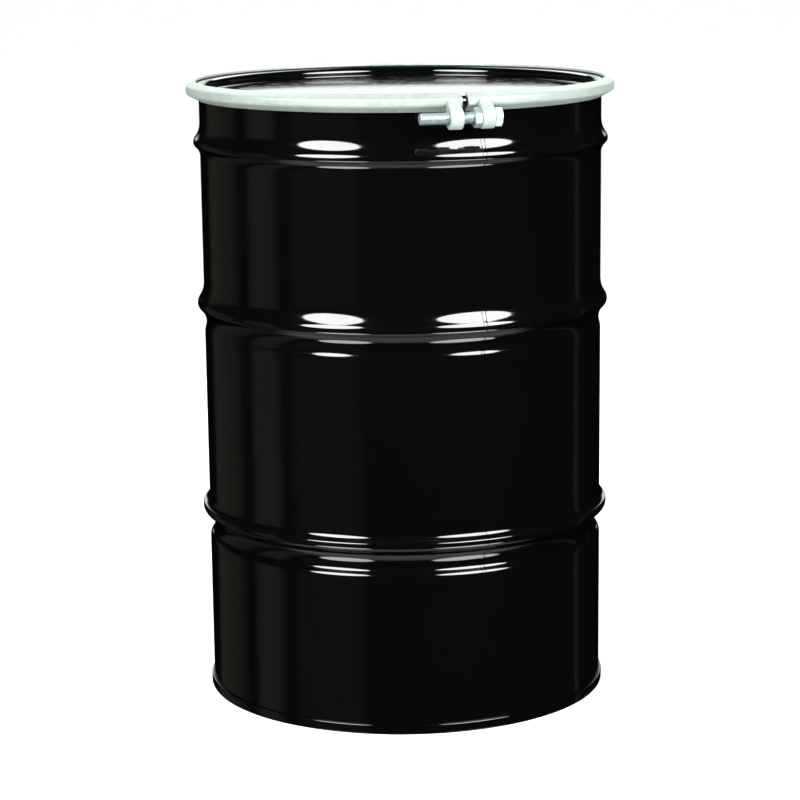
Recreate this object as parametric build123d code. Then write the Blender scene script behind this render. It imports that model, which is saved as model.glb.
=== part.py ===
from build123d import *
import math
import os

# Open-head 55 US gallon steel drum. Millimetres, +Z up.
# The origin is on the drum's axis, on the plane that the bottom chime stands on.
# The closing ring's lugs are at -Y and its bolt lies along X.

# Drum body
INNER_RADIUS = 571.5 / 2  # inside of the cylindrical wall, 22.5 in across
BODY_SHEET = 1.2  # 18 gauge
TOP_HEIGHT = 886.0  # top edge of the closing ring

# Three rolled hoops, placed by the middle of the crest
LOW_HOOP_Z = 272.0
MIDDLE_HOOP_Z = 569.0
TOP_HOOP_DROP = 86.5  # below the top of the drum
HOOP_RISE = 9.35  # how far a crest stands out of the wall
LOW_CREST_LENGTH = 2.0  # the lowest hoop has a short flat crest
LOW_GROOVE_DEPTH = 7.4  # rolled in under the lowest hoop
MIDDLE_GROOVE_DEPTH = 2.5  # rolled in under the middle hoop
LOW_HOOP_FLANKS = (14.0, 33.0, 15.0)  # above the crest, crest to groove, groove to wall
MIDDLE_HOOP_FLANKS = (30.0, 27.0, 16.0)
TOP_HOOP_FLANKS = (28.0, 20.0)  # above and under the crest, no groove
CREST_SHARE = 0.25  # part of a flank that bends at the crest, the rest at its foot
GROOVE_SHARE = 0.5  # part of a groove's outer flank that bends at the groove

# Curl at the mouth
CURL_RADIUS = 5.4  # outside of the rolled tube
CURL_TURN = 290.0  # degrees of roll

# Bottom head and the double seam that joins it to the wall
HEAD_SHEET = 1.2
CHIME_HEIGHT = 14.0
BOTTOM_RECESS = 19.0  # floor to the underside of the bottom panel
BOTTOM_STEP = 3.0  # raised middle of the bottom panel
BOTTOM_MARGIN = 55.7  # wall to the step
BOTTOM_BEND = 5.0  # panel to the wall's inside
STEP_BEND = 3.0
SEAM_GAP = 0.05  # between two folded layers
SEAM_FOOT_BEND = 0.8
SEAM_TOP_SHARE = 0.45  # part of the fold's width that bends at each side of the seam's top
BODY_HOOK_SETBACK = 1.6  # edge of the wall's hook under the top fold
HEAD_HOOK_SETBACK = 0.75  # edge of the head's hook above the wall's fold
SEALANT_GAP = 0.1
SEALANT_EDGE = 0.35

# Longitudinal weld of the rolled wall
WELD_WIDTH = 6.0
WELD_RISE = 0.35
WELD_ANGLE = 5.9  # degrees from the lugs towards +X
WELD_END_GAP = 3.0  # short of the chime and of the closing ring

# Cover and its gasket
COVER_SHEET = 1.2
COVER_RECESS = 15.0  # rim top to the outer panel
COVER_STEP = 4.0  # raised middle of the panel
COVER_MARGIN = 51.0  # countersunk wall to the step
COVER_BEND = 3.0
COVER_SKIRT = 2.4  # rim edge below the channel's centre
GASKET_TOP = 3.8  # thickness above the curl
GASKET_SIDE = 1.3  # thickness beside the curl
GASKET_LIP = 1.0  # gasket edge below the channel's centre
GASKET_CLEARANCE = 0.3  # gasket to curl

# Closing ring, 12 gauge channel whose legs open towards the drum
RING_SHEET = 2.66
RING_LEG_ANGLE = 27.0
RING_BEND = 4.5  # outside radius
RING_END_GAP = 8.4
RING_TOP_LEG_SETBACK = 3.0  # upper leg shorter than the lower one
RING_TO_WALL = 0.35  # edge of the lower leg to the wall
RING_TO_CURL = 0.3  # lower leg to curl
RING_TO_COVER = 0.25  # upper leg to the cover's rim
RING_WEB_CLEARANCE = 2.79  # inside of the web to the cover's rim

# Bolt 5/8-11 UNC x 4 in and its jam nut
BOLT_RADIUS = 15.875 / 2
BOLT_LENGTH = 101.6
BOLT_POINT = 1.3  # chamfer of the threaded end
HEAD_HEIGHT = 9.9
NUT_HEIGHT = 9.5
HEX_FLATS = 23.8
HEX_CHAMFER = 0.9  # along the bolt, at the corners
HEX_CHAMFER_SLOPE = 4.0  # length of the chamfer across a flat is the chamfer over this
THREAD_CLEARANCE = 0.05  # bolt in its nut and in the threaded lug
FACE_CLEARANCE = 0.2  # nut and head off the plain lug
NUT_TO_RIM = 1.4  # corner of the nut to the cover's rim, so that the ring lifts off
NUT_TO_WEB = 1.0  # corner of the nut under the ring's web

# Cutting blocks are this many times as wide as what they cut
CUTTER_WIDTH = 4.0

# The two lugs
LUG_WIDTH = 18.0
LUG_BOSS_WALL = 7.1  # round the bolt
LUG_BACK_WALL = 2.9  # between the plain hole and the flat face towards the drum
LUG_PAD_THICKNESS = 5.0
LUG_PAD_DROP = 4.0  # top of the pad under the web's upper bend
LUG_EDGE = 1.2
LUG_SHOULDER_ANGLE = 36.87  # degrees above level, where the pad meets the boss
PLAIN_HOLE_CLEARANCE = 0.75
THREADED_LUG_INSET = 4.8  # lug's face behind its end of the ring
PLAIN_LUG_INSET = 12.9
LUG_WELD = 3.2  # radius of the weld bead

# Wall, cover rim and curl, worked out from the sizes above
WALL_RADIUS = INNER_RADIUS + BODY_SHEET
HOOP_RADIUS = WALL_RADIUS + HOOP_RISE
CURL_CENTRE_RADIUS = INNER_RADIUS + CURL_RADIUS
RIM_INNER = CURL_RADIUS + GASKET_CLEARANCE + GASKET_SIDE
RIM_OUTER = RIM_INNER + COVER_SHEET
RIM_REACH = CURL_CENTRE_RADIUS + RIM_OUTER
COVER_WALL_RADIUS = CURL_CENTRE_RADIUS - RIM_OUTER

# The ring's legs slope, so the heights of rim, curl and web follow from the top edge down.
LEG_SINE = math.sin(math.radians(RING_LEG_ANGLE))
LEG_COSINE = math.cos(math.radians(RING_LEG_ANGLE))
RING_RADIUS = RIM_REACH + RING_WEB_CLEARANCE + RING_SHEET
RING_LOW_LEG_RADIUS = WALL_RADIUS + RING_TO_WALL + RING_SHEET * LEG_SINE
RING_TOP_LEG_RADIUS = RING_LOW_LEG_RADIUS + RING_TOP_LEG_SETBACK
LEG_RISE = (RING_RADIUS - CURL_CENTRE_RADIUS) * LEG_SINE / LEG_COSINE
WEB_TOP_Z = TOP_HEIGHT - (RING_RADIUS - RING_TOP_LEG_RADIUS) * LEG_SINE / LEG_COSINE
RIM_CENTRE_Z = WEB_TOP_Z + LEG_RISE - (RIM_OUTER + RING_TO_COVER + RING_SHEET) / LEG_COSINE
CURL_CENTRE_Z = RIM_CENTRE_Z + RIM_INNER - GASKET_TOP - GASKET_CLEARANCE - CURL_RADIUS
WEB_LOW_Z = CURL_CENTRE_Z + LEG_RISE - (CURL_RADIUS + RING_TO_CURL + RING_SHEET) / LEG_COSINE
RING_LOW_Z = WEB_LOW_Z - (RING_RADIUS - RING_LOW_LEG_RADIUS) * LEG_SINE / LEG_COSINE
COVER_PANEL_Z = RIM_CENTRE_Z + RIM_OUTER - COVER_RECESS
TOP_HOOP_Z = TOP_HEIGHT - TOP_HOOP_DROP
PANEL_TOP_Z = BOTTOM_RECESS + HEAD_SHEET

# Places along and round the bolt
HEX_CORNER = HEX_FLATS / 2 / math.cos(math.radians(30))
BOLT_AXIS_RADIUS = RIM_REACH + NUT_TO_RIM + HEX_CORNER
BOLT_AXIS_Z = WEB_LOW_Z - NUT_TO_WEB - HEX_CORNER
THREADED_HOLE = BOLT_RADIUS + THREAD_CLEARANCE
PLAIN_HOLE = BOLT_RADIUS + PLAIN_HOLE_CLEARANCE
LUG_BOSS_RADIUS = BOLT_RADIUS + LUG_BOSS_WALL
LUG_BACK_RADIUS = BOLT_AXIS_RADIUS - PLAIN_HOLE - LUG_BACK_WALL
LUG_PAD_TOP = WEB_TOP_Z - LUG_PAD_DROP
THREADED_LUG_X = -RING_END_GAP / 2 - THREADED_LUG_INSET - LUG_WIDTH
PLAIN_LUG_X = RING_END_GAP / 2 + PLAIN_LUG_INSET
HEAD_X = PLAIN_LUG_X + LUG_WIDTH + FACE_CLEARANCE


def path(*edges):
    """One wire through edges that meet end to end."""
    return Wire(edges)


def sheet_section(wire, thickness, side):
    """Section of a sheet whose one face is the wire, drawn as radius and height."""
    return make_face(wire.offset_2d(thickness, side=side))


def spin(section, degrees=360.0, start=0.0):
    """Turns a radius and height section round the drum's axis."""
    solid = revolve(Plane.XZ * section, Axis.Z, revolution_arc=degrees)
    return solid.rotate(Axis.Z, start)


def fold_section(corners, bends, thickness):
    """Section of a sheet folded at corners, its given face on the left and its metal on the right."""
    ways = []
    for start, end in zip(corners, corners[1:]):
        ways.append((Vector(end) - Vector(start)).normalized())
    rights = [Vector(way.Y, -way.X) for way in ways]
    far_corners = [Vector(corners[0]) + rights[0] * thickness]
    far_bends = []
    for corner, before, after, bend in zip(corners[1:], rights, rights[1:], bends):
        far_corners.append(Vector(corner) + (before + after) * (thickness / (1 + before.dot(after))))
        turns_left = before.cross(after).Z > 0
        far_bends.append(bend + thickness if turns_left else bend - thickness)
    far_corners.append(Vector(corners[-1]) + rights[-1] * thickness)
    near = FilletPolyline(*corners, radius=bends)
    far = FilletPolyline(*far_corners, radius=far_bends)
    edges = path(*near.edges(), Line(near @ 1, far @ 1), *far.edges(), Line(far @ 0, near @ 0))
    return make_face(edges)


def flank(low, high, share):
    """Two tangent arcs from one upright tangent to the next, the lower one with its share of the way."""
    meeting = (low[0] + (high[0] - low[0]) * share, low[1] + (high[1] - low[1]) * share)
    lower = TangentArc(low, meeting, tangent=(0, 1))
    return [lower, TangentArc(meeting, high, tangent=lower % 1)]


def wall_line(bottom_z, top_z):
    """Outside of the wall: upright stretches joined by the flanks of the hoops and grooves."""
    low_crest = LOW_CREST_LENGTH / 2
    low_groove_z = LOW_HOOP_Z - low_crest - LOW_HOOP_FLANKS[1]
    middle_groove_z = MIDDLE_HOOP_Z - MIDDLE_HOOP_FLANKS[1]
    stations = [
        (WALL_RADIUS, bottom_z),
        (WALL_RADIUS, low_groove_z - LOW_HOOP_FLANKS[2]),
        (WALL_RADIUS - LOW_GROOVE_DEPTH, low_groove_z),
        (HOOP_RADIUS, LOW_HOOP_Z - low_crest),
        (HOOP_RADIUS, LOW_HOOP_Z + low_crest),
        (WALL_RADIUS, LOW_HOOP_Z + low_crest + LOW_HOOP_FLANKS[0]),
        (WALL_RADIUS, middle_groove_z - MIDDLE_HOOP_FLANKS[2]),
        (WALL_RADIUS - MIDDLE_GROOVE_DEPTH, middle_groove_z),
        (HOOP_RADIUS, MIDDLE_HOOP_Z),
        (WALL_RADIUS, MIDDLE_HOOP_Z + MIDDLE_HOOP_FLANKS[0]),
        (WALL_RADIUS, TOP_HOOP_Z - TOP_HOOP_FLANKS[1]),
        (HOOP_RADIUS, TOP_HOOP_Z),
        (WALL_RADIUS, TOP_HOOP_Z + TOP_HOOP_FLANKS[0]),
        (WALL_RADIUS, top_z),
    ]
    edges = []
    for low, high in zip(stations, stations[1:]):
        if low[0] == high[0]:
            edges.append(Line(low, high))
        else:
            share = GROOVE_SHARE
            if high[0] == HOOP_RADIUS:
                share = 1 - CREST_SHARE
            elif low[0] == HOOP_RADIUS:
                share = CREST_SHARE
            edges.extend(flank(low, high, share))
    return edges


def hook_radii():
    """Inner faces of the seam's layers, from the wall outwards: head hook, body hook, seaming wall."""
    head_hook = WALL_RADIUS + SEAM_GAP
    body_hook = head_hook + HEAD_SHEET + SEAM_GAP
    seaming_wall = body_hook + BODY_SHEET + SEAM_GAP
    return head_hook, body_hook, seaming_wall


def fold_inside():
    """Height of the inside of the fold at the foot of the wall."""
    return HEAD_SHEET + SEAM_GAP + BODY_SHEET


def body_hook_top():
    """Height of the free edge of the wall's hook."""
    return CHIME_HEIGHT - HEAD_SHEET - BODY_HOOK_SETBACK


def make_body_shell():
    """Rolled wall with its hoops, the hook folded into the bottom seam and the curl at the mouth."""
    body_hook = hook_radii()[1]
    fold = (body_hook - WALL_RADIUS) / 2
    hook = Line((body_hook, body_hook_top()), (body_hook, fold_inside() + fold))
    turn = CenterArc((WALL_RADIUS + fold, fold_inside() + fold), fold, 0, -180)
    curl = CenterArc((CURL_CENTRE_RADIUS, CURL_CENTRE_Z), CURL_RADIUS - BODY_SHEET, 180, -CURL_TURN)
    face_line = path(hook, turn, *wall_line(fold_inside() + fold, CURL_CENTRE_Z), curl)
    return spin(sheet_section(face_line, BODY_SHEET, Side.LEFT))


def make_side_seam_weld():
    """Flat bead of the longitudinal weld, on the outside of the wall."""
    line = path(*wall_line(CHIME_HEIGHT + WELD_END_GAP, RING_LOW_Z - WELD_END_GAP))
    degrees = math.degrees(WELD_WIDTH / WALL_RADIUS)
    return spin(sheet_section(line, WELD_RISE, Side.RIGHT), degrees, WELD_ANGLE - 90 - degrees / 2)


def make_bottom_head():
    """Recessed bottom panel whose edge wraps round the wall's hook as a double seam."""
    head_hook, body_hook, seaming_wall = hook_radii()
    hook_face = head_hook + HEAD_SHEET
    chuck_wall = INNER_RADIUS - SEAM_GAP
    step = chuck_wall - BOTTOM_MARGIN
    seam_top = CHIME_HEIGHT - HEAD_SHEET
    top_bend = SEAM_TOP_SHARE * (seaming_wall - hook_face)
    corners = [
        (0, PANEL_TOP_Z + BOTTOM_STEP),
        (step, PANEL_TOP_Z + BOTTOM_STEP),
        (step + 2 * BOTTOM_STEP, PANEL_TOP_Z),
        (chuck_wall, PANEL_TOP_Z),
        (chuck_wall, HEAD_SHEET),
        (seaming_wall, HEAD_SHEET),
        (seaming_wall, seam_top),
        (hook_face, seam_top),
        (hook_face, fold_inside() + HEAD_HOOK_SETBACK),
    ]
    bends = [STEP_BEND, STEP_BEND, BOTTOM_BEND, SEAM_FOOT_BEND, SEAM_FOOT_BEND, top_bend, top_bend]
    return spin(fold_section(corners, bends, HEAD_SHEET))


def make_seam_sealant():
    """Bead of sealing compound in the pocket at the top of the double seam."""
    low = body_hook_top() + SEALANT_GAP
    height = CHIME_HEIGHT - HEAD_SHEET - SEALANT_GAP - low
    bead = Pos(hook_radii()[1], low) * Rectangle(BODY_SHEET, height, align=(Align.MIN, Align.MIN))
    return spin(fillet(bead.vertices(), SEALANT_EDGE))


def make_cover():
    """Flat cover with a raised middle, a countersunk wall and a channel that hoods the curl."""
    edge = COVER_WALL_RADIUS
    step = edge - COVER_MARGIN
    panel = FilletPolyline(
        (0, COVER_PANEL_Z + COVER_STEP),
        (step, COVER_PANEL_Z + COVER_STEP),
        (step + 2 * COVER_STEP, COVER_PANEL_Z),
        (edge, COVER_PANEL_Z),
        (edge, RIM_CENTRE_Z),
        radius=[STEP_BEND, STEP_BEND, COVER_BEND],
    )
    rim = CenterArc((CURL_CENTRE_RADIUS, RIM_CENTRE_Z), RIM_OUTER, 180, -180)
    skirt = Line((RIM_REACH, RIM_CENTRE_Z), (RIM_REACH, RIM_CENTRE_Z - COVER_SKIRT))
    return spin(sheet_section(path(*panel.edges(), rim, skirt), COVER_SHEET, Side.RIGHT))


def make_cover_gasket():
    """Rubber ring that fills the rim's channel and seals on top of the curl."""
    channel = Pos(CURL_CENTRE_RADIUS, RIM_CENTRE_Z) * Circle(RIM_INNER)
    curl = Pos(CURL_CENTRE_RADIUS, CURL_CENTRE_Z) * Circle(CURL_RADIUS + GASKET_CLEARANCE)
    upper = Pos(CURL_CENTRE_RADIUS, RIM_CENTRE_Z - GASKET_LIP) * Rectangle(
        CUTTER_WIDTH * RIM_INNER, CUTTER_WIDTH * RIM_INNER, align=(Align.CENTER, Align.MIN)
    )
    return spin((channel & upper) - curl)


def ring_outline():
    """Outer face of the closing ring's channel, from the lower leg's edge to the upper one's."""
    return FilletPolyline(
        (RING_LOW_LEG_RADIUS, RING_LOW_Z),
        (RING_RADIUS, WEB_LOW_Z),
        (RING_RADIUS, WEB_TOP_Z),
        (RING_TOP_LEG_RADIUS, TOP_HEIGHT),
        radius=[RING_BEND, RING_BEND],
    )


def make_ring_half(side):
    """Half of the closing ring towards +X or -X, from its open end to the split at the back."""
    half_gap = math.degrees(math.asin(RING_END_GAP / 2 / RING_RADIUS))
    start = 90 if side < 0 else half_gap - 90
    return spin(sheet_section(ring_outline(), RING_SHEET, Side.LEFT), 180 - half_gap, start)


def ring_envelope():
    """Section of everything inside the closing ring's outer face."""
    floor_line = Polyline((0, TOP_HEIGHT), (0, RING_LOW_Z), (RING_LOW_LEG_RADIUS, RING_LOW_Z))
    top_line = Line((RING_TOP_LEG_RADIUS, TOP_HEIGHT), (0, TOP_HEIGHT))
    return make_face(path(*floor_line.edges(), *ring_outline().edges(), top_line))


def on_bolt_axis(x, shape):
    """Moves a shape made round the X axis to its place along the bolt."""
    return Pos(x, -BOLT_AXIS_RADIUS, BOLT_AXIS_Z) * shape


def rod(radius, length):
    """Plain rod along +X from the origin."""
    return extrude(Plane.YZ * Circle(radius), length)


def hexagon(height, turn):
    """Hexagonal prism along +X with both ends chamfered at its corners."""
    flat_radius = HEX_FLATS / 2
    prism = extrude(Plane.YZ * RegularPolygon(flat_radius, 6, major_radius=False, rotation=turn), height)
    turned = make_face(
        Polyline(
            (0, 0),
            (0, flat_radius - HEX_CHAMFER / HEX_CHAMFER_SLOPE),
            (HEX_CHAMFER, HEX_CORNER),
            (height - HEX_CHAMFER, HEX_CORNER),
            (height, flat_radius - HEX_CHAMFER / HEX_CHAMFER_SLOPE),
            (height, 0),
            close=True,
        )
    )
    return prism & revolve(turned, Axis.X)


def make_lug(x, hole_radius):
    """Forged lug that hangs from the ring: a boss round the bolt and a pad against the web."""
    shoulder_angle = math.radians(LUG_SHOULDER_ANGLE)
    shoulder = (
        BOLT_AXIS_RADIUS + LUG_BOSS_RADIUS * math.cos(shoulder_angle),
        BOLT_AXIS_Z + LUG_BOSS_RADIUS * math.sin(shoulder_angle),
    )
    boss = Pos(BOLT_AXIS_RADIUS, BOLT_AXIS_Z) * Circle(LUG_BOSS_RADIUS)
    neck = make_face(
        Polyline(
            (LUG_BACK_RADIUS, BOLT_AXIS_Z),
            (LUG_BACK_RADIUS, LUG_PAD_TOP),
            (RING_RADIUS + LUG_PAD_THICKNESS, LUG_PAD_TOP),
            shoulder,
            (BOLT_AXIS_RADIUS, BOLT_AXIS_Z),
            close=True,
        )
    )
    drum_side = Pos(LUG_BACK_RADIUS, BOLT_AXIS_Z) * Rectangle(
        LUG_BOSS_RADIUS, 4 * LUG_BOSS_RADIUS, align=(Align.MAX, Align.CENTER)
    )
    outline = mirror(boss + neck - drum_side, Plane.YZ)
    block = extrude(Plane.YZ.offset(x) * outline, LUG_WIDTH)
    block = chamfer(block.faces().filter_by(Axis.X).edges(), LUG_EDGE)
    hole = on_bolt_axis(x, rod(hole_radius, LUG_WIDTH))
    return block - spin(ring_envelope()) - hole


def make_lug_weld(x):
    """Fillet bead along the top of a lug's pad, laid on the ring's outer face."""
    bead = Pos(RING_RADIUS, LUG_PAD_TOP) * Circle(LUG_WELD)
    upper = Pos(RING_RADIUS, LUG_PAD_TOP) * Rectangle(
        CUTTER_WIDTH * LUG_WELD, CUTTER_WIDTH * LUG_WELD, align=(Align.CENTER, Align.MIN)
    )
    section = (bead & upper) - ring_envelope()
    first = math.degrees(math.asin((x + LUG_EDGE) / RING_RADIUS))
    last = math.degrees(math.asin((x + LUG_WIDTH - LUG_EDGE) / RING_RADIUS))
    return spin(section, last - first, first - 90)


def make_bolt():
    """Hexagon head bolt, its thread drawn as a plain rod of the full diameter."""
    shank = rod(BOLT_RADIUS, BOLT_LENGTH)
    shank = chamfer(shank.faces().sort_by(Axis.X)[0].edges(), BOLT_POINT)
    return on_bolt_axis(HEAD_X - BOLT_LENGTH, shank) + on_bolt_axis(HEAD_X, hexagon(HEAD_HEIGHT, 0))


def make_lock_nut():
    """Thin nut run up to the plain lug, between the two lugs."""
    bore = rod(THREADED_HOLE, NUT_HEIGHT)
    return on_bolt_axis(PLAIN_LUG_X - FACE_CLEARANCE - NUT_HEIGHT, hexagon(NUT_HEIGHT, 30) - bore)


def main():
    parts = {
        "body_shell": make_body_shell(),
        "side_seam_weld": make_side_seam_weld(),
        "bottom_head": make_bottom_head(),
        "seam_sealant": make_seam_sealant(),
        "cover": make_cover(),
        "cover_gasket": make_cover_gasket(),
        "closing_ring_left": make_ring_half(-1),
        "threaded_lug": make_lug(THREADED_LUG_X, THREADED_HOLE),
        "threaded_lug_weld": make_lug_weld(THREADED_LUG_X),
        "closing_ring_right": make_ring_half(1),
        "plain_lug": make_lug(PLAIN_LUG_X, PLAIN_HOLE),
        "plain_lug_weld": make_lug_weld(PLAIN_LUG_X),
        "closing_bolt": make_bolt(),
        "lock_nut": make_lock_nut(),
    }
    os.makedirs("parts", exist_ok=True)
    for node, solid in parts.items():
        export_step(solid, f"parts/{node}.step")


if __name__ == "__main__":
    main()
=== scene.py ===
import bmesh
import bpy
import math
from mathutils import Matrix, Vector


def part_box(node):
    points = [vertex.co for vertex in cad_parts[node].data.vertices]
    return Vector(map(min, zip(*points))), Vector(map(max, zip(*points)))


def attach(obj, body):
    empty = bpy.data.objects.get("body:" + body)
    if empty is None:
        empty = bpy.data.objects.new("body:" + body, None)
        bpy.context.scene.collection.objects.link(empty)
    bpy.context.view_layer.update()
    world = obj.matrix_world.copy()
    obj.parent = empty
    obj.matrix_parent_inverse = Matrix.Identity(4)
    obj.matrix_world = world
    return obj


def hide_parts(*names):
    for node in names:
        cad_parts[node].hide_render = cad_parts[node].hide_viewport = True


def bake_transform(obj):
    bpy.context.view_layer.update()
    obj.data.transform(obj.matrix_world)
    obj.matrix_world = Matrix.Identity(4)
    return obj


# Open-head steel drum with a bolted closing ring. Metres, +Z up, the lugs at -Y.
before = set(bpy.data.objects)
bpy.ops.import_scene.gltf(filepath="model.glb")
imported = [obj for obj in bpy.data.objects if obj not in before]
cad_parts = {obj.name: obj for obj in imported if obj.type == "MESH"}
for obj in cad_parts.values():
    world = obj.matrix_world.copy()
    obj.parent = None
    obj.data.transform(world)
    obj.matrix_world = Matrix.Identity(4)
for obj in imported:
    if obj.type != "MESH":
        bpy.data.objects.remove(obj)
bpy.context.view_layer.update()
MM = 0.001

# Places taken from the frame
RING_LOW, RING_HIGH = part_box("closing_ring_left")
COVER_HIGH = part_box("cover")[1]
BOLT_LOW, BOLT_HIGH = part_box("closing_bolt")
NUT_LOW, NUT_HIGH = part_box("lock_nut")
THREADED_LOW, THREADED_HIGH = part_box("threaded_lug")
PLAIN_LOW, PLAIN_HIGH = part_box("plain_lug")
SEAM_LOW, SEAM_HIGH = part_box("side_seam_weld")

# Wall and its three rolled hoops
SHEET = 1.2 * MM
INNER_RADIUS = 285.75 * MM
WALL_RADIUS = INNER_RADIUS + SHEET
HOOP_RADIUS = WALL_RADIUS + 9.35 * MM
LOW_HOOP_Z = 272 * MM
MIDDLE_HOOP_Z = 569 * MM
TOP_HOOP_Z = RING_HIGH.z - 86.5 * MM
LOW_CREST = 1 * MM  # half of the flat on the lowest crest
LOW_GROOVE_RADIUS = WALL_RADIUS - 7.4 * MM
MIDDLE_GROOVE_RADIUS = WALL_RADIUS - 2.5 * MM
LOW_FLANKS = (14 * MM, 33 * MM, 15 * MM)  # above the crest, crest to groove, groove to wall
MIDDLE_FLANKS = (30 * MM, 27 * MM, 16 * MM)
TOP_FLANKS = (28 * MM, 20 * MM)
CREST_SHARE = 0.25  # part of a flank that bends at the crest
GROOVE_SHARE = 0.5  # part of a groove's outer flank that bends at the groove

# Curl, cover rim and gasket
CURL_RADIUS = 5.4 * MM
CURL_TURN = 290
CURL_CENTRE = INNER_RADIUS + CURL_RADIUS
RIM_INNER = 7.0 * MM
RIM_OUTER = RIM_INNER + SHEET
RIM_Z = COVER_HIGH.z - RIM_OUTER
GASKET_BORE = CURL_RADIUS + 0.3 * MM
GASKET_LIP = 1 * MM
GASKET_TOP = 3.8 * MM
CURL_Z = RIM_Z + RIM_INNER - GASKET_TOP - GASKET_BORE
COVER_WALL = CURL_CENTRE - RIM_OUTER
PANEL_Z = COVER_HIGH.z - 15 * MM
COVER_STEP = 4 * MM
COVER_MARGIN = 51 * MM
SKIRT = 2.4 * MM
PANEL_BEND = 3 * MM

# Double seam at the foot
SEAM_GAP = 0.05 * MM
CHIME_HEIGHT = 14 * MM
BODY_HOOK_SETBACK = 1.6 * MM
HEAD_HOOK_SETBACK = 0.75 * MM
BOTTOM_PANEL_Z = 20.2 * MM
BOTTOM_STEP = 3 * MM
BOTTOM_MARGIN = 55.7 * MM
BOTTOM_BEND = 5 * MM
SEAM_FOOT_BEND = 0.8 * MM
SEAM_TOP_SHARE = 0.45  # part of the fold that bends at each side of its top
FOLD_INSIDE = 2 * SHEET + SEAM_GAP

# Closing ring
RING_SHEET = 2.66 * MM
RING_BEND = 4.5 * MM
RING_RADIUS = 304.8 * MM
LEG_ANGLE = math.radians(27)
LOW_LEG_RADIUS = 288.51 * MM
TOP_LEG_RADIUS = 291.51 * MM
RING_GAP = 8.4 * MM
BAND_BACK = 45  # degrees each side of the back, in the stretch that stays fixed

# Lugs, bolt and nut
BOLT_AXIS = Vector((0, (BOLT_LOW.y + BOLT_HIGH.y) / 2, (BOLT_LOW.z + BOLT_HIGH.z) / 2))
BOLT_RADIUS = 7.9375 * MM
BOLT_LENGTH = 101.6 * MM
THREAD_LENGTH = 84 * MM
PITCH = 25.4 * MM / 11  # 5/8 in, 11 threads to the inch
THREAD_DEPTH = 1.42 * MM
POINT = 1.3 * MM
HEAD_HEIGHT = 9.9 * MM
HEAD_WASHER = 0.25 * MM
WASHER_INSET = 0.6 * MM
NUT_LEAD = 0.8 * MM
HEX_FLATS = 23.8 * MM
HEX_CORNER = HEX_FLATS / 2 / math.cos(math.radians(30))
HEX_CHAMFER = 0.9 * MM
START_SINK = 0.25  # share of the chamfer that reaches in past a flat
HEX_SPILL = 0.02 * MM  # the outline stands this much past the corners
LUG_BOSS = BOLT_RADIUS + 7.1 * MM
LUG_BACK = 302.9 * MM
LUG_ROOT = 302.2 * MM
LUG_PAD = 5 * MM
LUG_PAD_TOP = THREADED_HIGH.z
LUG_ROUNDING = 1.8 * MM
THREAD_CLEARANCE = 0.05 * MM
PLAIN_CLEARANCE = 0.75 * MM
LUG_SHOULDER = math.degrees(math.atan2(0.6, 0.8))  # above level, where the pad meets the boss
WELD_RADIUS = 2.7 * MM
WELD_POINTS = 12
WELD_RIPPLE = 1.3 * MM

# Longitudinal weld
SEAM_WIDTH = 6 * MM
SEAM_RISE = 0.28 * MM
SEAM_RIPPLE = 1.6 * MM
SEAM_ANGLE = 5.9  # degrees from the lugs towards +X

ARC_STEP = 4.0  # degrees between points on the wall's bends
JOIN = 0.002 * MM  # points nearer than this are one


# ---------- outlines, drawn as radius and height ----------

def arc(centre, radius, first, last, step=7.0):
    """Points along an arc between two angles in degrees."""
    count = max(2, math.ceil(abs(last - first) / step) + 1)
    angles = [math.radians(first + (last - first) * i / (count - 1)) for i in range(count)]
    return [Vector((centre[0] + radius * math.cos(a), centre[1] + radius * math.sin(a))) for a in angles]


def flank(low, high, share):
    """Two tangent arcs from one upright tangent to the next; share is the lower arc's part of them."""
    rise, height = high[0] - low[0], high[1] - low[1]
    whole = (rise * rise + height * height) / (2 * abs(rise))
    side = 1 if rise > 0 else -1
    turn = math.degrees(math.asin(height / whole))
    lower, upper = whole * share, whole * (1 - share)
    start = 180 if side > 0 else 0
    first = arc((low[0] + side * lower, low[1]), lower, start, start - side * turn, ARC_STEP)
    end = 0 if side > 0 else 180
    second = arc((high[0] - side * upper, high[1]), upper, end - side * turn, end, ARC_STEP)
    return first + second


def rounded(corners, radii):
    """The open line through corners, each inner corner rounded to its radius."""
    points = [Vector(corners[0])]
    for before, corner, after, radius in zip(corners, corners[1:], corners[2:], radii):
        corner = Vector(corner)
        back = (Vector(before) - corner).normalized()
        on = (Vector(after) - corner).normalized()
        half = math.acos(max(-1, min(1, back.dot(on)))) / 2
        centre = corner + (back + on).normalized() * (radius / math.sin(half))
        reach = radius / math.tan(half)
        start, end = corner + back * reach - centre, corner + on * reach - centre
        first = math.degrees(math.atan2(start.y, start.x))
        turn = math.degrees(math.atan2(start.x * end.y - start.y * end.x, start.dot(end)))
        points += arc(centre, radius, first, first + turn, 9.0)
    points.append(Vector(corners[-1]))
    return points


def tidy(points, least=2 * JOIN):
    """Drops points that fall on the one before."""
    kept = [Vector(points[0])]
    for point in points[1:]:
        if (Vector(point) - kept[-1]).length > least:
            kept.append(Vector(point))
    return kept


def sheet(points, thickness):
    """Closed outline of a sheet: the line, and its other face to the line's left."""
    points = tidy(points)
    ways = [(b - a).normalized() for a, b in zip(points, points[1:])]
    befores, afters = [ways[0]] + ways, ways + [ways[-1]]
    other = []
    for point, before, after in zip(points, befores, afters):
        way = (before + after).normalized()
        reach = thickness / way.dot(after)
        other.append(point + Vector((-way.y, way.x)) * reach)
    return points + other[::-1]


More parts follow.
